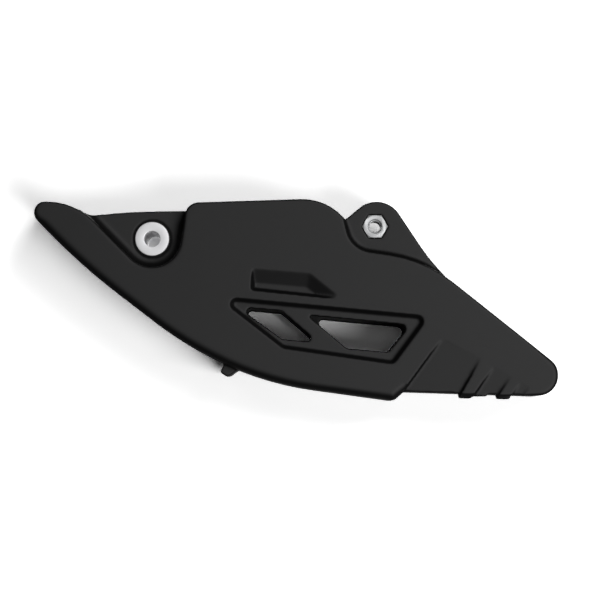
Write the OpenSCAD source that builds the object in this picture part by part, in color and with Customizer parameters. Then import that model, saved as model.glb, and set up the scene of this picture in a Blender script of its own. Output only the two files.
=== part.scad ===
/* [Body] */
// Width of the guide, across both cheeks
guide_w = 45; // [42:0.5:52]
// Width of the slot that the chain runs in
slot_w = 27; // [24:0.5:30]
// Distance of the rear bolt behind the front bolt
rear_bolt_x = 100.4; // [98:0.1:103]
// Height of the rear bolt above the front bolt
rear_bolt_z = 5.5; // [4:0.1:7]
// Distance of the tail's round end behind the front bolt
tail_x = 172.5; // [168:0.5:177]
// Drop of the tail's round end below the front bolt
tail_drop = 61.4; // [60:0.1:63]
// Distance of the nose's round end ahead of the front bolt
nose_x = 49; // [46:0.5:52]
// Height of the nose's top above the front bolt
nose_top = 16.4; // [15:0.1:17]
// Height of the roof block's top above the front bolt
block_top = 15.9; // [15:0.1:18]

/* [Mounts] */
// Depth of the front mount's face below the cheek
web_set = 8; // [6:0.5:11]
// Depth of the rear mount's face below the cheek
lug_set = 5; // [3:0.5:7]
// Radius of the rear mount's round end
lug_r = 12; // [11:0.1:13]
// Thickness of the rear mount's ear
ear_t = 24; // [18:0.5:32]
// Diameter of the collar's flange
flange_d = 15.3; // [14:0.1:17]
// Thickness of the collar's flange
flange_t = 2; // [1.5:0.1:3]
// Outer diameter of the collar's sleeve
sleeve_d = 10.4; // [9:0.1:12]
// Diameter of the collar's bolt hole
collar_bore_d = 7; // [6.4:0.1:7.6]
// Chamfer of the collar's mouths
collar_chamfer = 0.4; // [0.2:0.05:0.6]
// Gap round the flange in its seat
seat_ring = 1.2; // [0.6:0.1:2]
// Depth of the flange's seat
seat_set = 0.8; // [0.4:0.1:1.4]
// Size of the nut across its flats
nut_flats = 10; // [8:0.5:11]
// Height of the nut
nut_h = 5; // [4:0.1:6]
// Inner diameter of the nut's thread
thread_d = 5; // [4:0.1:5.4]
// Depth of the chamfer at the nut's mouths
nut_chamfer = 0.8; // [0.4:0.1:1]
// Diameter of the rear bolt's passage
rear_hole_d = 6.6; // [6.2:0.1:7]
// Clearance round the sleeve and the nut
fit_gap = 0.1; // [0.05:0.05:0.2]

/* [Slot and windows] */
// Depth of the panel round the windows
panel_set = 2.4; // [1.5:0.1:3.5]
// Spread of the panel's wall
panel_draft = 1.6; // [0.6:0.1:2]
// Depth of the scoop
scoop_set = 3.2; // [2:0.1:4]
// Width of the bar between the windows, along the guide
bar_w = 14; // [11:0.5:16]
// Width of the lip under the front of the sole
lip_w = 33; // [29:0.5:40]

/* [Tail ramp] */
// Slope of the thinned face at the tail
ramp_deg = 6; // [3:0.5:8]
// Drop of the tail ribs' feet below the sole
foot_drop = 2.3; // [1:0.1:3]

/* [Hidden] */
$fn = 64;

// Angle and length that each straight piece of a rounded corner covers at most
arc_step = 9;
arc_piece = 7;
// Depth of the ribs' feet below the cheek
foot_set = 0.8;
// Depth by which a cut starts outside the solid
over = 1;

face_y = -guide_w / 2;
back_y = guide_w / 2;
web_y = face_y + web_set;
lug_y = face_y + lug_set;
panel_y = face_y + panel_set;
seat_y = web_y + seat_set;
nut_y = lug_y + nut_h;
ear_y = lug_y + ear_t;

// Outlines are lists of corners in the side view, clockwise: along the guide, up, corner radius
shell = [
    [-nose_x - 10.6, nose_top, 5],
    [-nose_x + 14.6, nose_top, 30.5],
    [9.3, -27.9, 13.2],
    [15.8, block_top, 6.3],
    [rear_bolt_x - 22.1, block_top + 2, 24.2],
    [rear_bolt_x - 14.1, rear_bolt_z + 3.6, 1.3],
    [rear_bolt_x - 10.7, rear_bolt_z - 10.4, 12.1],
    [rear_bolt_x + 22.2, rear_bolt_z - 15.2, 60],
    [tail_x + 9.8, -tail_drop + 4.2, 8],
    [tail_x + 9.8, -tail_drop - 9.6, 8.9],
    [113.3, -68.8, 0.9],
    [108.8, -72.9, 2.2],
    [48.8, -64.6, 144],
    [12.2, -46, 165],
    [-nose_x / 2 - 8.1, -11.6, 300]
];
web = [[-31.2, 10.3, 0], [-9.7, 12.3, 179], [18.1, 12.8, 0], [22, -16.5, 0], [-5.2, -20, 0]];
lug = [
    [rear_bolt_x - 16.2, rear_bolt_z + 2.1, 0],
    [rear_bolt_x - 13.8, rear_bolt_z + 2.8, 1.8],
    [rear_bolt_x + 3.4, rear_bolt_z + lug_r + 5, lug_r],
    [rear_bolt_x + 23.9, rear_bolt_z - 14, 80],
    [rear_bolt_x + 35.9, rear_bolt_z - 27.1, 0],
    [rear_bolt_x + 30, rear_bolt_z - 32, 0],
    [rear_bolt_x - 11.6, rear_bolt_z - 16.2, 0]
];
slot = [
    [-40, -23.4, 0],
    [44, -29, 200],
    [tail_x + 12, -41.9, 0],
    [tail_x + 20, -tail_drop - 3, 0],
    [107, -65.6, 60],
    [58, -60.4, 90],
    [32.5, -51.6, 1.5],
    [26, -66, 0],
    [-40, -46, 0]
];
panel = [[28.5, -26, 2.9], [124.7, -35, 3.1], [108.6, -56.7, 3.1], [58.9, -49.6, 4.5]];
front_window = [
    [38.8, -30.9, 1.6], [83.8 - bar_w - 11.6, -32.6, 1.3], [88.7 - bar_w, -46.8, 1.6], [58.7, -45.3, 2.7]
];
rear_window = [[69.8, -34.5, 0.4], [116.1, -39, 2.2], [106.2, -51.1, 1.8], [87.6, -49.5, 3.6]];
rear_window_back = [[75.4, -35.2, 1.5], [116.1, -39, 2.2], [106.2, -51.1, 1.8], [87.6, -49.5, 3.6], [76, -40, 1]];
scoop_rim = [[45.2, -13.6, 0.7], [70.9, -15.7, 2.7], [83.4, -25.8, 0.5], [81.6, -27.2, 0.5], [44.5, -23.4, 0.7]];
scoop_floor = [[46, -20.2, 0.3], [69.8, -22.3, 1.5], [73, -24.9, 0.2], [72.6, -25.4, 0.2], [46, -22.5, 0.3]];
ramp_line = [[129.5, -43.3], [168.5, -66.2]];
ramp_area = [[113.2, -68.1, 0], [130.2, -44.9, 2], [170, -66, 0], [160, -80, 0], [104.4, -80, 0]];
lip = [[33, -55.2, 0], [30.6, -60.1, 0.8], [33.3, -61.8, 1], [35.2, -61.5, 1], [39, -58.6, 0]];
rib_left = [[137.8, -71, 0], [148, -53.4, 0], [152.8, -58.1, 0], [144.1, -71, 0]];
rib_right = [[154.9, -71, 0], [160.7, -63, 0], [164.7, -64.8, 0], [161, -71, 0]];
foot_left = [
    [137.8, -66, 0], [150.6, -66, 0], [150.4, -68.7 - foot_drop, 0.3], [143.8, -68.7 - foot_drop, 0],
    [143.2, -69.7 - foot_drop, 0.6], [137.8, -69.5 - foot_drop, 0.6]
];
foot_right = [
    [154.7, -66, 0], [161.6, -66, 0], [160.6, -70 - foot_drop, 0.8], [154.7, -69.9 - foot_drop, 0.6]
];

// Geometry of outlines

function unit(v) = v / norm(v);
function spot(c) = [c[0], c[1]];
function wrap(a) = a > 180 ? a - 360 : a < -180 ? a + 360 : a;

// The points of one corner
function corner(a, b, d) =
    let (
        u = unit(spot(a) - spot(b)),
        v = unit(spot(d) - spot(b)),
        half = acos(u * v) / 2,
        centre = spot(b) + unit(u + v) * b[2] / sin(half),
        p = spot(b) + u * b[2] / tan(half) - centre,
        q = spot(b) + v * b[2] / tan(half) - centre,
        start = atan2(p[1], p[0]),
        turn = wrap(atan2(q[1], q[0]) - start),
        steps = max(2, ceil(abs(turn) / arc_step), ceil(b[2] * abs(turn) * PI / 180 / arc_piece))
    )
    b[2] == 0
        ? [spot(b)]
        : [for (k = [0:steps]) let (a = start + turn * k / steps) centre + b[2] * [cos(a), sin(a)]];

// The closed outline of a list of corners
function outline(c) =
    let (n = len(c)) [for (i = [0:n - 1]) each corner(c[(i + n - 1) % n], c[i], c[(i + 1) % n])];

// The way into the solid at point i, so long that each side moves by 1
function inward(p, i) =
    let (
        n = len(p),
        s = unit(p[i] - p[(i + n - 1) % n]),
        t = unit(p[(i + 1) % n] - p[i]),
        a = [s[1], -s[0]],
        b = [t[1], -t[0]]
    )
    (a + b) / (1 + a * b);

// An outline moved into the solid by a distance
function inset(p, by) = [for (i = [0:len(p) - 1]) p[i] + inward(p, i) * by];

// Lays points of the side view at a depth
function laid(p, y) = [for (q = p) [q[0], y, q[1]]];

// A solid through rings of equal length, from the back one to the front one
module loft(rings) {
    n = len(rings[0]);
    last = (len(rings) - 1) * n;
    polyhedron(
        points = [for (r = rings) each r],
        faces = [
            [for (i = [n - 1:-1:0]) i],
            for (k = [0:len(rings) - 2], i = [0:n - 1])
                let (a = k * n + i, b = k * n + (i + 1) % n)
                    each [[a, b, a + n], [b, b + n, a + n]],
            [for (i = [0:n - 1]) last + i]
        ]
    );
}

// A side-view outline as a slab from one depth to another
module slab(c, from_y, to_y) {
    p = outline(c);
    translate([0, to_y, 0]) rotate([90, 0, 0]) linear_extrude(to_y - from_y)
        polygon([for (i = [len(p) - 1:-1:0]) p[i]]);
}

// A round cut or bar along the bolts' direction
module across(at, d, from_y, to_y, sides = $fn) {
    translate([at[0], to_y, at[1]]) rotate([90, 0, 0]) cylinder(d = d, h = to_y - from_y, $fn = sides);
}

// The shallow panel round the windows, with a sloping wall
module panel_cut() {
    p = outline(panel);
    loft([
        laid(inset(p, panel_draft), panel_y),
        laid(p, face_y),
        laid(inset(p, -panel_draft / panel_set * over), face_y - over)
    ]);
}

// The scoop, with its broad sloping top and rear walls
module scoop_cut() {
    hull() {
        slab(scoop_rim, face_y - over, face_y);
        slab(scoop_floor, face_y, face_y + scoop_set);
    }
}

// The part of the tail's face that slopes away towards the sole
module ramp_cut() {
    run = ramp_line[1] - ramp_line[0];
    reach = 60;
    difference() {
        intersection() {
            slab(ramp_area, face_y - over, face_y + 8);
            translate([ramp_line[0][0], face_y, ramp_line[0][1]])
                rotate([0, 90 - atan2(run[1], run[0]), 0]) translate([0, 0, -reach])
                    linear_extrude(2 * reach)
                        polygon([[0, 0], [reach, reach * tan(ramp_deg)], [reach, -2 * over], [0, -2 * over]]);
        }
        for (r = [rib_left, rib_right]) slab(r, face_y - 2 * over, back_y);
    }
}

// The moulded body
module guide_body() {
    color("#1c1c1e") difference() {
        union() {
            slab(shell, face_y, back_y);
            slab(web, web_y, back_y);
            slab(lug, lug_y, ear_y);
            slab(lip, -lip_w / 2, lip_w / 2);
            for (f = [foot_left, foot_right]) slab(f, face_y + foot_set, -slot_w / 2);
        }
        slab(slot, -slot_w / 2, slot_w / 2);
        slab(front_window, face_y - over, back_y + over);
        slab(rear_window, face_y - over, 0);
        slab(rear_window_back, 0, back_y + over);
        panel_cut();
        scoop_cut();
        ramp_cut();
        across([0, 0], flange_d + 2 * seat_ring, web_y - over, seat_y);
        across([0, 0], sleeve_d + 2 * fit_gap, seat_y - over, back_y + over);
        across([rear_bolt_x, rear_bolt_z], (nut_flats + 2 * fit_gap) / cos(30), lug_y - over, nut_y, 6);
        across([rear_bolt_x, rear_bolt_z], rear_hole_d, nut_y - over, ear_y + over);
    }
}

// The flanged sleeve that the front bolt passes through
module front_collar() {
    c = collar_chamfer;
    r = collar_bore_d / 2;
    top = seat_y - flange_t;
    long = back_y - top;
    color("#d9dadb") translate([0, back_y, 0]) rotate([90, 0, 0]) rotate_extrude()
        polygon([
            [r, c], [r + c, 0], [sleeve_d / 2 - c, 0], [sleeve_d / 2, c], [sleeve_d / 2, long - flange_t],
            [flange_d / 2, long - flange_t], [flange_d / 2, long - c], [flange_d / 2 - c, long],
            [r + c, long], [r, long - c]
        ]);
}

// The hexagon nut that is held in the rear mount
module rear_nut() {
    corner_r = nut_flats / 2 / cos(30);
    drop = (corner_r - nut_flats / 2) * tan(30);
    mouth_r = thread_d / 2 + nut_chamfer;
    color("#c9cbcd") translate([rear_bolt_x, nut_y, rear_bolt_z]) rotate([90, 0, 0]) difference() {
        intersection() {
            cylinder(r = corner_r, h = nut_h, $fn = 6);
            rotate_extrude()
                polygon([[0, 0], [nut_flats / 2, 0], [corner_r, drop], [corner_r + 1, drop],
                    [corner_r + 1, nut_h - drop], [corner_r, nut_h - drop], [nut_flats / 2, nut_h], [0, nut_h]]);
        }
        rotate_extrude()
            polygon([[0, -1], [mouth_r + 1, -1], [mouth_r, 0], [thread_d / 2, nut_chamfer],
                [thread_d / 2, nut_h - nut_chamfer], [mouth_r, nut_h], [mouth_r + 1, nut_h + 1], [0, nut_h + 1]]);
    }
}

guide_body();
front_collar();
rear_nut();
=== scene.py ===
import math

import bmesh
import bpy
from bpy.props import FloatProperty, FloatVectorProperty, IntProperty, PointerProperty
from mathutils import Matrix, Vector
from mathutils.kdtree import KDTree


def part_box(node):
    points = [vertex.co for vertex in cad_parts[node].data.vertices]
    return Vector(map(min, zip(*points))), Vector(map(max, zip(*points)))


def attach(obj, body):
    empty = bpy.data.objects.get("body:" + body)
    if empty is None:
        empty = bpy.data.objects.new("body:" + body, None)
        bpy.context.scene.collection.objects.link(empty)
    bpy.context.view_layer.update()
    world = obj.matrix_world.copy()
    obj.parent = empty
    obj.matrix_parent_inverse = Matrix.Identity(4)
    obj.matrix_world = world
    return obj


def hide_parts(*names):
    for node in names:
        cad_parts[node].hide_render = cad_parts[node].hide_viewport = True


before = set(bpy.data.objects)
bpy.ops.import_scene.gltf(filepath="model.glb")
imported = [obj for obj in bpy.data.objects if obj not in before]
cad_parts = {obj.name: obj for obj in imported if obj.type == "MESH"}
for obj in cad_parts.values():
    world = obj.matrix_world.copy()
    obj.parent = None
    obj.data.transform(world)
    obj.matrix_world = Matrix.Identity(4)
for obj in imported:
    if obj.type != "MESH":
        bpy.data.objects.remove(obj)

bl_info = {
    "name": "Chain Guide",
    "version": (1, 0, 0),
    "blender": (4, 5, 0),
    "location": "View3D > Sidebar > Chain Guide",
    "description": "Dresses the chain guide, its collar and its nut, and sets the stage round them",
    "category": "Object",
}

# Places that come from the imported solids, in metres
MM = 0.001
BODY_LOW, BODY_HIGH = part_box("guide_body")
COLLAR_LOW, COLLAR_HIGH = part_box("front_collar")
NUT_LOW, NUT_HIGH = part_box("rear_nut")
FACE_Y = BODY_LOW.y
BACK_Y = BODY_HIGH.y
FLANGE_RADIUS = (COLLAR_HIGH.x - COLLAR_LOW.x) / 2
NUT_CENTRE = (NUT_LOW + NUT_HIGH) / 2
MIDDLE = (BODY_LOW + BODY_HIGH) / 2


class BodySettings(bpy.types.PropertyGroup):
    """Sizes and finish of the moulded body."""

    mesh_size: FloatProperty(
        name="Mesh Size", description="Spacing of the moulding's mesh",
        default=0.5 * MM, min=0.3 * MM, max=2 * MM, precision=5, unit="LENGTH", subtype="DISTANCE")
    sole_round: FloatProperty(
        name="Sole Rounding", description="Rounding of the leading edge and the sole",
        default=4 * MM, min=0, max=6 * MM, precision=4, unit="LENGTH", subtype="DISTANCE")
    tail_round: FloatProperty(
        name="Tail Rounding", description="Rounding of the tail's edges",
        default=1.8 * MM, min=0, max=4 * MM, precision=4, unit="LENGTH", subtype="DISTANCE")
    rim_round: FloatProperty(
        name="Rim Rounding", description="Rounding of every other edge of the near cheek",
        default=0.8 * MM, min=0, max=3 * MM, precision=4, unit="LENGTH", subtype="DISTANCE")
    front_cove: FloatProperty(
        name="Front Cove", description="Hollow corner between the front mount's face and its wall",
        default=4 * MM, min=0, max=6 * MM, precision=4, unit="LENGTH", subtype="DISTANCE")
    rear_cove: FloatProperty(
        name="Rear Cove", description="Hollow corner between the rear mount's face and its wall",
        default=2.4 * MM, min=0, max=4 * MM, precision=4, unit="LENGTH", subtype="DISTANCE")
    softness: IntProperty(
        name="Softness", description="Times that the moulding's edges are softened",
        default=4, min=0, max=30)
    colour: FloatVectorProperty(
        name="Colour", description="Colour of the plastic", default=(0.0095, 0.0095, 0.0097),
        min=0, max=1, subtype="COLOR")
    roughness: FloatProperty(
        name="Roughness", description="Roughness of the plastic",
        default=0.56, min=0, max=1, subtype="FACTOR")
    gloss: FloatProperty(
        name="Gloss", description="Specular level of the plastic",
        default=0.25, min=0, max=1, subtype="FACTOR")
    # Painted shade: the walls and rims keep only this share of the face's colour and gloss
    wall_shade_share: FloatProperty(
        name="Wall Share",
        description="Share of the face's colour and gloss that its walls and rims keep",
        default=0.35, min=0, max=1, subtype="FACTOR")
    grain_size: FloatProperty(
        name="Grain Size", description="Size of the moulded grain",
        default=0.35 * MM, min=0.1 * MM, max=2 * MM, precision=5, unit="LENGTH", subtype="DISTANCE")
    grain_depth: FloatProperty(
        name="Grain Depth", description="Depth of the moulded grain",
        default=0.012 * MM, min=0, max=0.1 * MM, precision=6, unit="LENGTH", subtype="DISTANCE")


class CollarSettings(bpy.types.PropertyGroup):
    """Sizes and finish of the flanged collar."""

    flange_thickness: FloatProperty(
        name="Flange Thickness", description="Thickness of the collar's flange",
        default=2 * MM, min=1 * MM, max=4 * MM, precision=4, unit="LENGTH", subtype="DISTANCE")
    sleeve_diameter: FloatProperty(
        name="Sleeve Diameter", description="Outer diameter of the collar's sleeve",
        default=10.4 * MM, min=8 * MM, max=13 * MM, precision=4, unit="LENGTH", subtype="DISTANCE")
    bore_diameter: FloatProperty(
        name="Bore Diameter", description="Diameter of the collar's bolt hole",
        default=7 * MM, min=6 * MM, max=8 * MM, precision=4, unit="LENGTH", subtype="DISTANCE")
    edge_bevel: FloatProperty(
        name="Edge Bevel", description="Bevel of the collar's edges",
        default=0.35 * MM, min=0, max=0.8 * MM, precision=5, unit="LENGTH", subtype="DISTANCE")
    colour: FloatVectorProperty(
        name="Colour", description="Colour of the collar's metal", default=(0.66, 0.66, 0.67),
        min=0, max=1, subtype="COLOR")
    roughness: FloatProperty(
        name="Roughness", description="Roughness of the collar's metal",
        default=0.5, min=0, max=1, subtype="FACTOR")


class NutSettings(bpy.types.PropertyGroup):
    """Sizes and finish of the captive nut."""

    thread_diameter: FloatProperty(
        name="Thread Diameter", description="Outer diameter of the nut's thread",
        default=6 * MM, min=4 * MM, max=7 * MM, precision=4, unit="LENGTH", subtype="DISTANCE")
    thread_pitch: FloatProperty(
        name="Thread Pitch", description="Distance from one turn of the thread to the next",
        default=1 * MM, min=0.5 * MM, max=1.5 * MM, precision=4, unit="LENGTH", subtype="DISTANCE")
    edge_bevel: FloatProperty(
        name="Edge Bevel", description="Bevel of the nut's edges",
        default=0.12 * MM, min=0, max=0.4 * MM, precision=5, unit="LENGTH", subtype="DISTANCE")
    colour: FloatVectorProperty(
        name="Colour", description="Colour of the nut's plating", default=(0.4, 0.405, 0.41),
        min=0, max=1, subtype="COLOR")
    roughness: FloatProperty(
        name="Roughness", description="Roughness of the nut's plating",
        default=0.42, min=0, max=1, subtype="FACTOR")


class StageSettings(bpy.types.PropertyGroup):
    """The white sheet that the guide lies on, its lamps and its camera."""

    sheet_size: FloatProperty(
        name="Sheet Size", description="Width and height of the white sheet",
        default=1.6, min=0.5, max=4, unit="LENGTH", subtype="DISTANCE")
    sheet_colour: FloatVectorProperty(
        name="Sheet Colour", description="Colour that the white sheet throws back onto the guide",
        default=(0.12, 0.12, 0.12), min=0, max=1, subtype="COLOR")
    sheet_gain: FloatProperty(
        name="Sheet Gain", description="Share of its light that the sheet shows the camera",
        default=1.58, min=0, max=3)
    sheet_mirrored: FloatProperty(
        name="Sheet Mirrored",
        description="Share of the shown white that mirrored rays meet on the sheet",
        default=0.12, min=0, max=1, subtype="FACTOR")
    world_mirrored: FloatProperty(
        name="World Mirrored",
        description="Share of the shown white that mirrored rays meet round the stage",
        default=0.04, min=0, max=1, subtype="FACTOR")
    key_power: FloatProperty(
        name="Key Power", description="Power of the lamp low on the right",
        default=11.5, min=0, subtype="POWER")
    top_power: FloatProperty(
        name="Top Power", description="Power of the lamp high on the right",
        default=9.2, min=0, subtype="POWER")
    side_power: FloatProperty(
        name="Side Power", description="Power of the lamp high on the left",
        default=1, min=0, subtype="POWER")
    front_power: FloatProperty(
        name="Front Power", description="Power of the lamp beside the camera",
        default=0.8, min=0, subtype="POWER")
    back_power: FloatProperty(
        name="Back Power", description="Power of the lamp that lights the hidden side",
        default=24, min=0, subtype="POWER")
    world_strength: FloatProperty(
        name="World Strength", description="Strength of the even light from all round",
        default=0.02, min=0, max=1)
    camera_distance: FloatProperty(
        name="Camera Distance", description="Distance from the camera to the near cheek",
        default=1.2, min=0.5, max=4, unit="LENGTH", subtype="DISTANCE")
    frame_width: FloatProperty(
        name="Frame Width", description="Width of the picture at the near cheek",
        default=0.2686, min=0.2, max=1, precision=4, unit="LENGTH", subtype="DISTANCE")


def merged_copy(node):
    """A bmesh of a CAD node's mesh, with its loose triangles joined."""
    bm = bmesh.new()
    bm.from_mesh(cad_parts[node].data)
    bmesh.ops.remove_doubles(bm, verts=bm.verts, dist=0.001 * MM)
    return bm


def finished_mesh(bm, name):
    """Turn a bmesh into a smoothly shaded mesh, and free it."""
    mesh = bpy.data.meshes.new(name)
    bm.to_mesh(mesh)
    bm.free()
    mesh.shade_smooth()
    return mesh


def modified(mesh, kind, **values):
    """The mesh that one modifier makes of another."""
    carrier = bpy.data.objects.new("shaping", mesh)
    bpy.context.scene.collection.objects.link(carrier)
    modifier = carrier.modifiers.new("Shape", kind)
    for name, value in values.items():
        setattr(modifier, name, value)
    graph = bpy.context.evaluated_depsgraph_get()
    result = bpy.data.meshes.new_from_object(carrier.evaluated_get(graph))
    bpy.data.objects.remove(carrier)
    return result


def add_piece(name, mesh, material, slot, *nodes):
    """Put a finished mesh in the scene as a piece that stands for CAD nodes."""
    piece = bpy.data.objects.new(name, mesh)
    bpy.context.scene.collection.objects.link(piece)
    mesh.materials.clear()
    mesh.materials.append(material)
    if nodes:
        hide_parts(*nodes)
    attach(piece, "root")
    return piece


# The moulded body

FRONT_RECESS = ((-31 * MM, -27 * MM), (18.5 * MM, 12.5 * MM))
REAR_RECESS = ((84.5 * MM, -26 * MM), (128 * MM, 9.5 * MM))
WEB_Y = FACE_Y + 8 * MM
LUG_Y = FACE_Y + 5 * MM
SOLE_END_X = 111 * MM
DEEP_WALL = 4.6 * MM
BLEND = 6 * MM
RIM_STEP = 0.3 * MM
WEB_ROUND = 1.2 * MM
LUG_ROUND = 1.0 * MM
TAIL_END = 8 * MM
WIDEST = 8 * MM
SMALLEST_COVE = 0.2 * MM
# Painted shade on walls and rims: the depth over which it fades out, and the turn from the flat face
# where it starts and over which it spreads
SHADE_FADE = 4 * MM
SHADE_START = math.radians(10)
SHADE_SPREAD = math.radians(25)
MOST_TRIANGLES = 190000


def within(point, area):
    """Whether a point of the side view is in an area given by two corners."""
    (x0, z0), (x1, z1) = area
    return x0 < point.x < x1 and z0 < point.z < z1


def rim_edges(bm):
    """The near cheek's outer rim: the longest chain of edges between its face and a deep wall."""
    edges = {}
    for edge in bm.edges:
        if len(edge.link_faces) != 2:
            continue
        flat, wall = sorted(edge.link_faces, key=lambda face: face.normal.y)
        deep = max(vert.co.y for vert in wall.verts) > FACE_Y + DEEP_WALL
        if flat.normal.y < -0.95 and abs(wall.normal.y) < 0.1 and deep:
            edges[edge] = wall.normal.copy()
    chains = []
    left = set(edges)
    while left:
        chain = []
        todo = [left.pop()]
        while todo:
            edge = todo.pop()
            chain.append(edge)
            for vert in edge.verts:
                near = left.intersection(vert.link_edges)
                left -= near
                todo.extend(near)
        chains.append(chain)
    longest = max(chains, key=lambda chain: sum(edge.calc_length() for edge in chain))
    return [(edge, edges[edge]) for edge in longest]


def rim_points(bm, settings):
    """Points along the rim, each with its way out, its rounding, its cove and the floor below it."""
    points = []
    for edge, out in rim_edges(bm):
        a, b = (vert.co for vert in edge.verts)
        out.y = 0
        out.normalize()
        steps = max(1, math.ceil((b - a).length / RIM_STEP))
        for k in range(steps + 1):
            at = a.lerp(b, k / steps)
            if out.z > -0.3 and within(at, FRONT_RECESS):
                shape = (WEB_ROUND, settings.front_cove, WEB_Y)
            elif out.z > -0.3 and within(at, REAR_RECESS):
                shape = (LUG_ROUND, settings.rear_cove, LUG_Y)
            elif out.z < -0.2 and at.x < SOLE_END_X:
                shape = (settings.sole_round, 0, WEB_Y)
            elif out.z < 0 or at.x > BODY_HIGH.x - TAIL_END:
                shape = (settings.tail_round, 0, LUG_Y)
            else:
                shape = (settings.rim_round, 0, LUG_Y)
            points.append((at, out, shape))
    return points


def flat_tree(points):
    """A search tree over points of the side view."""
    tree = KDTree(len(points))
    for i, point in enumerate(points):
        tree.insert((point.x, 0, point.z), i)
    tree.balance()
    return tree


def blended_points(points):
    """The rim's points, with rounding and cove changing gradually along it."""
    tree = flat_tree([at for at, out, shape in points])
    result = []
    for at, out, shape in points:
        near = [points[i][2] for co, i, gap in tree.find_range((at.x, 0, at.z), BLEND)]
        rounding = sum(s[0] for s in near) / len(near)
        cove = sum(s[1] for s in near) / len(near)
        result.append((at, out, rounding, cove, shape[2]))
    return result, tree


def pulled_in(along, deep, radius):
    """Move a point of a square corner onto the circle that rounds it off."""
    if not (along < radius and -0.5 * MM < deep < radius):
        return along, deep
    a, d = along - radius, deep - radius
    reach = math.hypot(a, d)
    if reach <= radius:
        return along, deep
    return radius + a * radius / reach, radius + d * radius / reach


def round_rim(bm, points, tree):
    """Round the rim's outer edge, and fill the foot of the mounts' walls."""
    for vert in bm.verts:
        if vert.co.y > WEB_Y + 1 * MM:
            continue
        co, index, gap = tree.find((vert.co.x, 0, vert.co.z))
        if gap > WIDEST:
            continue
        at, out, rounding, cove, floor_y = points[index]
        side = (vert.co - at).dot(out)
        inside, deep = pulled_in(max(0, -side), vert.co.y - at.y, rounding)
        if side < RIM_STEP and inside != max(0, -side):
            vert.co -= out * (inside + min(side, 0))
            vert.co.y = at.y + deep
        if cove > SMALLEST_COVE and side > -RIM_STEP:
            outside, height = pulled_in(max(0, side), floor_y - vert.co.y, cove)
            if outside != max(0, side):
                vert.co += out * (outside - max(0, side))
                vert.co.y = floor_y - height


def clamped(value):
    """A value held between 0 and 1."""
    return max(0.0, min(1.0, value))


def paint_wall_shade(bm):
    """Store on the near cheek how far the surface turns from the flat face, as the mask of the painted
    shade on its walls and rims.
    """
    layer = bm.verts.layers.float.new("wall")
    bm.normal_update()
    for vert in bm.verts:
        turn = math.acos(max(-1, min(1, -vert.normal.y)))
        near = clamped(1 - (vert.co.y - WEB_Y) / SHADE_FADE)
        vert[layer] = clamped((turn - SHADE_START) / SHADE_SPREAD) * near


class OBJECT_OT_guide_body(bpy.types.Operator):
    """Mould the guide's body over its solid, with rounded edges and a fine grain"""

    bl_idname = "object.guide_body"
    bl_label = "Moulded Body"

    def execute(self, context):
        settings = context.scene.guide_body
        bm = merged_copy("guide_body")
        points, tree = blended_points(rim_points(bm, settings))
        mesh = finished_mesh(bm, "moulding")
        spacing = settings.mesh_size * 1
        mesh = modified(mesh, "REMESH", mode="VOXEL", voxel_size=spacing)
        bm = bmesh.new()
        bm.from_mesh(mesh)
        round_rim(bm, points, tree)
        for _ in range(settings.softness):
            bmesh.ops.smooth_vert(
                bm, verts=bm.verts, factor=0.5, use_axis_x=True, use_axis_y=True, use_axis_z=True)
        # Paint shade onto the walls and rims through a vertex mask
        paint_wall_shade(bm)
        mesh = finished_mesh(bm, "body_moulding")
        triangles = 2 * len(mesh.polygons)
        if triangles > MOST_TRIANGLES:
            mesh = modified(mesh, "DECIMATE", ratio=MOST_TRIANGLES / triangles)
            mesh.shade_smooth()
        add_piece("body_moulding", mesh, plastic_material(settings), "body", "guide_body")
        return {"FINISHED"}


# The collar

def collar_mesh(settings):
    """Spin the collar's outline round its axis, and bevel its edges."""
    top, far = COLLAR_LOW.y, COLLAR_HIGH.y
    bore = settings.bore_diameter / 2
    sleeve = settings.sleeve_diameter / 2
    under = top + settings.flange_thickness
    outline = [
        (bore, far), (sleeve, far), (sleeve, under),
        (FLANGE_RADIUS, under), (FLANGE_RADIUS, top), (bore, top),
    ]
    bm = bmesh.new()
    verts = [bm.verts.new((r, y, 0)) for r, y in outline]
    edges = [bm.edges.new((verts[i - 1], verts[i])) for i in range(len(verts))]
    bmesh.ops.spin(
        bm, geom=verts + edges, cent=(0, 0, 0), axis=(0, 1, 0), angle=math.tau, steps=96, use_merge=True)
    bmesh.ops.remove_doubles(bm, verts=bm.verts, dist=0.001 * MM)
    bmesh.ops.recalc_face_normals(bm, faces=bm.faces)
    sharp = [edge for edge in bm.edges if edge.calc_face_angle(0) > math.radians(40)]
    bmesh.ops.bevel(
        bm, geom=sharp, offset=settings.edge_bevel, offset_type="OFFSET", segments=4, profile=0.5,
        affect="EDGES", material=-1)
    return finished_mesh(bm, "collar")


class OBJECT_OT_guide_collar(bpy.types.Operator):
    """Turn the flanged collar that the front bolt passes through"""

    bl_idname = "object.guide_collar"
    bl_label = "Front Collar"

    def execute(self, context):
        settings = context.scene.guide_collar
        material = turned_material("turned aluminium", settings.colour, settings.roughness, 0.18 * MM)
        add_piece("turned_collar", collar_mesh(settings), material, "collar", "front_collar")
        return {"FINISHED"}


# The nut

def nut_mesh(settings):
    """Open the nut's bore to the thread's outer diameter, and bevel its edges."""
    bm = merged_copy("rear_nut")
    bmesh.ops.dissolve_limit(bm, angle_limit=math.radians(2), verts=bm.verts, edges=bm.edges)
    outer = settings.thread_diameter / 2
    for vert in bm.verts:
        arm = vert.co - NUT_CENTRE
        arm.y = 0
        if arm.length < outer - 0.1 * MM:
            vert.co += arm.normalized() * (outer - arm.length)
    sharp = [edge for edge in bm.edges if edge.calc_face_angle(0) > math.radians(25)]
    bmesh.ops.bevel(
        bm, geom=sharp, offset=settings.edge_bevel, offset_type="OFFSET", segments=2, profile=0.5,
        affect="EDGES", clamp_overlap=True, material=-1)
    return finished_mesh(bm, "nut")


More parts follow.
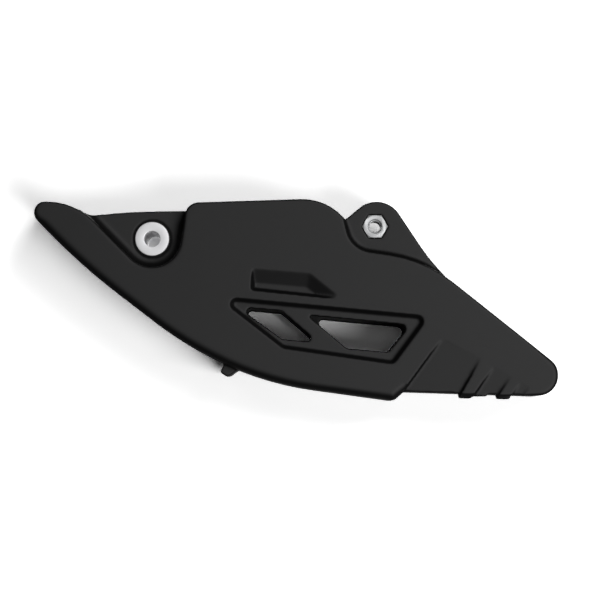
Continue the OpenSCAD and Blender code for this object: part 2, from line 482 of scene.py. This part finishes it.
def thread_mesh(settings):
    """Wind the nut's inner thread as a ridge along a screw line."""
    outer = settings.thread_diameter / 2
    pitch = settings.thread_pitch
    inner = outer - 0.54 * pitch
    turns = math.floor((NUT_HIGH.y - NUT_LOW.y) / pitch) - 1
    steps = 48
    start = NUT_CENTRE.y - turns * pitch / 2
    profile = [(outer + 0.05 * MM, -0.44), (inner, -0.1), (inner, 0.1), (outer + 0.05 * MM, 0.44)]
    bm = bmesh.new()
    verts = [bm.verts.new((NUT_CENTRE.x + r, start + y * pitch, NUT_CENTRE.z)) for r, y in profile]
    face = bm.faces.new(verts)
    bmesh.ops.spin(
        bm, geom=[face], cent=NUT_CENTRE, axis=(0, 1, 0), dvec=(0, pitch / steps, 0),
        angle=math.tau * turns, steps=steps * turns, use_merge=False)
    bmesh.ops.remove_doubles(bm, verts=bm.verts, dist=0.001 * MM)
    bmesh.ops.recalc_face_normals(bm, faces=bm.faces)
    return finished_mesh(bm, "thread")


class OBJECT_OT_guide_nut(bpy.types.Operator):
    """Make the captive nut and its thread"""

    bl_idname = "object.guide_nut"
    bl_label = "Captive Nut"

    def execute(self, context):
        settings = context.scene.guide_nut
        material = turned_material("zinc plate", settings.colour, settings.roughness, 0.3 * MM)
        add_piece("plated_nut", nut_mesh(settings), material, "nut", "rear_nut")
        add_piece("nut_thread", thread_mesh(settings), material, "nut")
        return {"FINISHED"}


# Materials

PATCH_SCALE = 38


class Nodes:
    """Short calls that add and join the nodes of one tree."""

    def __init__(self, tree):
        self.tree = tree
        tree.nodes.clear()

    def add(self, kind, **values):
        node = self.tree.nodes.new(kind)
        for name, value in values.items():
            setattr(node, name, value)
        return node

    def feed(self, node, **inputs):
        for name, value in inputs.items():
            socket = node.inputs[name.replace("_", " ")]
            if isinstance(value, bpy.types.NodeSocket):
                self.tree.links.new(value, socket)
            else:
                socket.default_value = value
        return node


def grain_group():
    """A fine moulded or blasted grain: its height, and a slow patchy mask."""
    if "Fine Grain" in bpy.data.node_groups:
        return bpy.data.node_groups["Fine Grain"]
    group = bpy.data.node_groups.new("Fine Grain", "ShaderNodeTree")
    size = group.interface.new_socket("Size", in_out="INPUT", socket_type="NodeSocketFloat")
    size.default_value = 0.35 * MM
    group.interface.new_socket("Height", in_out="OUTPUT", socket_type="NodeSocketFloat")
    group.interface.new_socket("Patches", in_out="OUTPUT", socket_type="NodeSocketFloat")
    nodes = Nodes(group)
    entry = nodes.add("NodeGroupInput")
    exit_node = nodes.add("NodeGroupOutput")
    place = nodes.add("ShaderNodeTexCoord").outputs["Object"]
    scale = nodes.add("ShaderNodeMath", operation="DIVIDE")
    scale.inputs[0].default_value = 1
    group.links.new(entry.outputs["Size"], scale.inputs[1])
    fine = nodes.feed(
        nodes.add("ShaderNodeTexNoise"), Vector=place, Scale=scale.outputs[0], Detail=3, Roughness=0.6)
    patches = nodes.feed(
        nodes.add("ShaderNodeTexNoise"), Vector=place, Scale=PATCH_SCALE, Detail=3, Roughness=0.55)
    group.links.new(fine.outputs["Fac"], exit_node.inputs["Height"])
    group.links.new(patches.outputs["Fac"], exit_node.inputs["Patches"])
    return group


def surface(name):
    """A new material with a Principled shader, and the calls to build on it."""
    material = bpy.data.materials.new(name)
    material.use_nodes = True
    nodes = Nodes(material.node_tree)
    shader = nodes.add("ShaderNodeBsdfPrincipled")
    output = nodes.add("ShaderNodeOutputMaterial")
    nodes.feed(output, Surface=shader.outputs["BSDF"])
    return material, nodes, shader


def ranged(nodes, value, low, high):
    """A value from 0 to 1, spread from low to high."""
    spread = nodes.add("ShaderNodeMapRange")
    nodes.feed(spread, Value=value, To_Min=low, To_Max=high)
    spread.inputs["From Min"].default_value = 0.25
    spread.inputs["From Max"].default_value = 0.75
    return spread.outputs["Result"]


def shaded(nodes, colour, mask, spread):
    """A colour that the mask darkens and lightens by a share."""
    mix = nodes.add("ShaderNodeMix", data_type="RGBA")
    a, b = (1 - spread), (1 + spread)
    mix.inputs["A"].default_value = (colour[0] * a, colour[1] * a, colour[2] * a, 1)
    mix.inputs["B"].default_value = (colour[0] * b, colour[1] * b, colour[2] * b, 1)
    nodes.tree.links.new(ranged(nodes, mask, 0, 1), mix.inputs["Factor"])
    return mix.outputs["Result"]


def plastic_material(settings):
    """Black moulded plastic with a fine grain, and painted shade that makes its walls and rims darker
    and less glossy.
    """
    material, nodes, shader = surface("moulded plastic")
    grain = nodes.add("ShaderNodeGroup", node_tree=grain_group())
    nodes.feed(grain, Size=settings.grain_size)
    bump = nodes.add("ShaderNodeBump")
    nodes.feed(bump, Height=grain.outputs["Height"], Distance=settings.grain_depth, Strength=1)
    # Painted shade: the wall mask darkens the colour on walls and rims towards the wall share
    wall = nodes.add("ShaderNodeAttribute", attribute_name="wall").outputs["Fac"]
    wall_shade_mix = nodes.add("ShaderNodeMix", data_type="RGBA")
    wall_shade_mix.inputs["B"].default_value = (*[part * settings.wall_shade_share for part in settings.colour], 1)
    nodes.tree.links.new(wall, wall_shade_mix.inputs["Factor"])
    patchy = shaded(nodes, settings.colour, grain.outputs["Patches"], 0.06)
    nodes.tree.links.new(patchy, wall_shade_mix.inputs["A"])
    # Painted shade: the wall mask also lowers the gloss on walls and rims
    gloss = nodes.add("ShaderNodeMapRange")
    nodes.feed(gloss, Value=wall, To_Min=settings.gloss, To_Max=settings.gloss * settings.wall_shade_share)
    roughness = settings.roughness
    nodes.feed(
        shader,
        Base_Color=wall_shade_mix.outputs["Result"],
        Roughness=ranged(nodes, grain.outputs["Patches"], roughness - 0.03, roughness + 0.03),
        Specular_IOR_Level=gloss.outputs["Result"],
        Normal=bump.outputs["Normal"])
    return material


def turned_material(name, colour, roughness, mark_size):
    """Matt metal with faint tool marks."""
    material, nodes, shader = surface(name)
    grain = nodes.add("ShaderNodeGroup", node_tree=grain_group())
    nodes.feed(grain, Size=mark_size)
    bump = nodes.add("ShaderNodeBump")
    nodes.feed(bump, Height=grain.outputs["Height"], Distance=0.006 * MM, Strength=1)
    nodes.feed(
        shader,
        Base_Color=shaded(nodes, colour, grain.outputs["Patches"], 0.03),
        Roughness=ranged(nodes, grain.outputs["Height"], roughness - 0.05, roughness + 0.05),
        Metallic=0.6,
        Normal=bump.outputs["Normal"])
    return material


def shown(nodes, share):
    """How much of its white a background shows: all to the camera, a share mirrored or through glass."""
    path = nodes.add("ShaderNodeLightPath").outputs
    indirect = nodes.add("ShaderNodeMath", operation="MAXIMUM")
    nodes.tree.links.new(path["Is Glossy Ray"], indirect.inputs[0])
    nodes.tree.links.new(path["Is Transmission Ray"], indirect.inputs[1])
    weaker = nodes.add("ShaderNodeMath", operation="MULTIPLY")
    nodes.tree.links.new(indirect.outputs[0], weaker.inputs[0])
    weaker.inputs[1].default_value = share
    either = nodes.add("ShaderNodeMath", operation="MAXIMUM")
    nodes.tree.links.new(path["Is Camera Ray"], either.inputs[0])
    nodes.tree.links.new(weaker.outputs[0], either.inputs[1])
    return either.outputs[0]


def sheet_material(settings):
    """A white sheet that is seen from the guide's side only and lets the lamps behind it through."""
    material = bpy.data.materials.new("white sheet")
    material.use_nodes = True
    nodes = Nodes(material.node_tree)
    tone = nodes.add("ShaderNodeMix", data_type="RGBA")
    tone.inputs["A"].default_value = (*settings.sheet_colour, 1)
    tone.inputs["B"].default_value = (settings.sheet_gain,) * 3 + (1,)
    nodes.tree.links.new(shown(nodes, settings.sheet_mirrored), tone.inputs["Factor"])
    paper = nodes.feed(nodes.add("ShaderNodeBsdfDiffuse"), Color=tone.outputs["Result"])
    clear = nodes.add("ShaderNodeBsdfTransparent")
    away = nodes.add("ShaderNodeNewGeometry").outputs["Backfacing"]
    shadow = nodes.add("ShaderNodeLightPath").outputs["Is Shadow Ray"]
    either = nodes.add("ShaderNodeMath", operation="MAXIMUM")
    nodes.tree.links.new(away, either.inputs[0])
    nodes.tree.links.new(shadow, either.inputs[1])
    mix = nodes.add("ShaderNodeMixShader")
    nodes.tree.links.new(either.outputs[0], mix.inputs[0])
    nodes.tree.links.new(paper.outputs[0], mix.inputs[1])
    nodes.tree.links.new(clear.outputs[0], mix.inputs[2])
    nodes.feed(nodes.add("ShaderNodeOutputMaterial"), Surface=mix.outputs[0])
    return material


# The stage

# Each lamp: its side, the way to it from the guide, and its distance, in metres
LAMPS = {
    "key": (0.65, (0.55, -1, -0.48), 1.3),
    "top": (0.65, (0.52, -1, 0.52), 1.3),
    "side": (0.5, (-0.5, -1, 0.5), 1.3),
    "front": (0.4, (0.02, -1, -0.04), 1.6),
    "back": (1.0, (0.25, 1, 0.45), 1.3),
}

# The picture in pixels: its width, the point that the camera stands before, and the front bolt
PICTURE = 600
SEEN_FROM = (285, 420)
BOLT_PIXEL = (151.2, 237.7)
PIXEL = 0.44762 * MM


def picture_point(x, y):
    """The point of the near cheek's plane at a pixel of the picture."""
    return Vector(((x - BOLT_PIXEL[0]) * PIXEL, FACE_Y, (BOLT_PIXEL[1] - y) * PIXEL))


def add_lamp(name, power, size, way, distance):
    """A square lamp that points at the guide from a direction."""
    lamp = bpy.data.lights.new(name, "AREA")
    lamp.energy = power
    lamp.shape = "RECTANGLE"
    lamp.size = size
    lamp.size_y = size
    piece = bpy.data.objects.new(name, lamp)
    bpy.context.scene.collection.objects.link(piece)
    way = Vector(way).normalized()
    piece.location = MIDDLE + way * distance
    piece.rotation_euler = way.to_track_quat("Z", "Y").to_euler()


def add_camera(settings):
    """A camera in front of the guide and a little below its middle, as in the photograph."""
    camera = bpy.data.cameras.new("camera")
    piece = bpy.data.objects.new("camera", camera)
    bpy.context.scene.collection.objects.link(piece)
    target = picture_point(PICTURE / 2, PICTURE / 2)
    piece.location = picture_point(*SEEN_FROM) - Vector((0, settings.camera_distance, 0))
    way = target - piece.location
    piece.rotation_euler = way.to_track_quat("-Z", "Y").to_euler()
    camera.lens = camera.sensor_width * way.length / settings.frame_width
    camera.clip_end = 20
    bpy.context.scene.camera = piece


class SCENE_OT_guide_stage(bpy.types.Operator):
    """Lay a white sheet behind the guide, and set up the lamps and the camera"""

    bl_idname = "scene.guide_stage"
    bl_label = "Stage"

    def execute(self, context):
        settings = context.scene.guide_stage
        half = settings.sheet_size / 2
        bm = bmesh.new()
        bmesh.ops.create_grid(bm, x_segments=1, y_segments=1, size=half)
        upright = Vector((0, 0, 1)).rotation_difference((0, -1, 0)).to_matrix()
        bmesh.ops.rotate(bm, verts=bm.verts, matrix=upright)
        bmesh.ops.translate(bm, verts=bm.verts, vec=(MIDDLE.x, BACK_Y + 0.2 * MM, MIDDLE.z))
        mesh = finished_mesh(bm, "white_sheet")
        mesh.materials.append(sheet_material(settings))
        sheet = bpy.data.objects.new("white_sheet", mesh)
        context.scene.collection.objects.link(sheet)

        for name, (size, way, distance) in LAMPS.items():
            add_lamp(name, getattr(settings, name + "_power"), size, way, distance)

        world = bpy.data.worlds.new("soft light")
        world.use_nodes = True
        nodes = Nodes(world.node_tree)
        background = nodes.add("ShaderNodeBackground")
        strength = nodes.add("ShaderNodeMapRange")
        share = shown(nodes, settings.world_mirrored)
        nodes.feed(strength, Value=share, To_Min=settings.world_strength, To_Max=1)
        nodes.feed(background, Color=(1, 1, 1, 1), Strength=strength.outputs["Result"])
        nodes.feed(nodes.add("ShaderNodeOutputWorld"), Surface=background.outputs[0])
        context.scene.world = world
        context.scene.view_settings.view_transform = "Standard"

        add_camera(settings)
        return {"FINISHED"}


STEPS = (OBJECT_OT_guide_body, OBJECT_OT_guide_collar, OBJECT_OT_guide_nut, SCENE_OT_guide_stage)
GROUPS = {
    "guide_body": BodySettings,
    "guide_collar": CollarSettings,
    "guide_nut": NutSettings,
    "guide_stage": StageSettings,
}


class VIEW3D_PT_chain_guide(bpy.types.Panel):
    """Lists the guide's settings and the steps that make it"""

    bl_label = "Chain Guide"
    bl_idname = "VIEW3D_PT_chain_guide"
    bl_space_type = "VIEW_3D"
    bl_region_type = "UI"
    bl_category = "Chain Guide"

    def draw(self, context):
        for (name, group), step in zip(GROUPS.items(), STEPS):
            box = self.layout.box()
            box.operator(step.bl_idname)
            settings = getattr(context.scene, name)
            for setting in group.__annotations__:
                box.prop(settings, setting)


def register():
    for group in GROUPS.values():
        bpy.utils.register_class(group)
    for name, group in GROUPS.items():
        setattr(bpy.types.Scene, name, PointerProperty(type=group))
    for step in STEPS:
        bpy.utils.register_class(step)
    bpy.utils.register_class(VIEW3D_PT_chain_guide)


def unregister():
    bpy.utils.unregister_class(VIEW3D_PT_chain_guide)
    for step in reversed(STEPS):
        bpy.utils.unregister_class(step)
    for name in GROUPS:
        delattr(bpy.types.Scene, name)
    for group in reversed(GROUPS.values()):
        bpy.utils.unregister_class(group)


def main():
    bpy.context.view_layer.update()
    register()
    bpy.ops.object.guide_body()
    bpy.ops.object.guide_collar()
    bpy.ops.object.guide_nut()
    bpy.ops.scene.guide_stage()


if __name__ == "__main__":
    main()
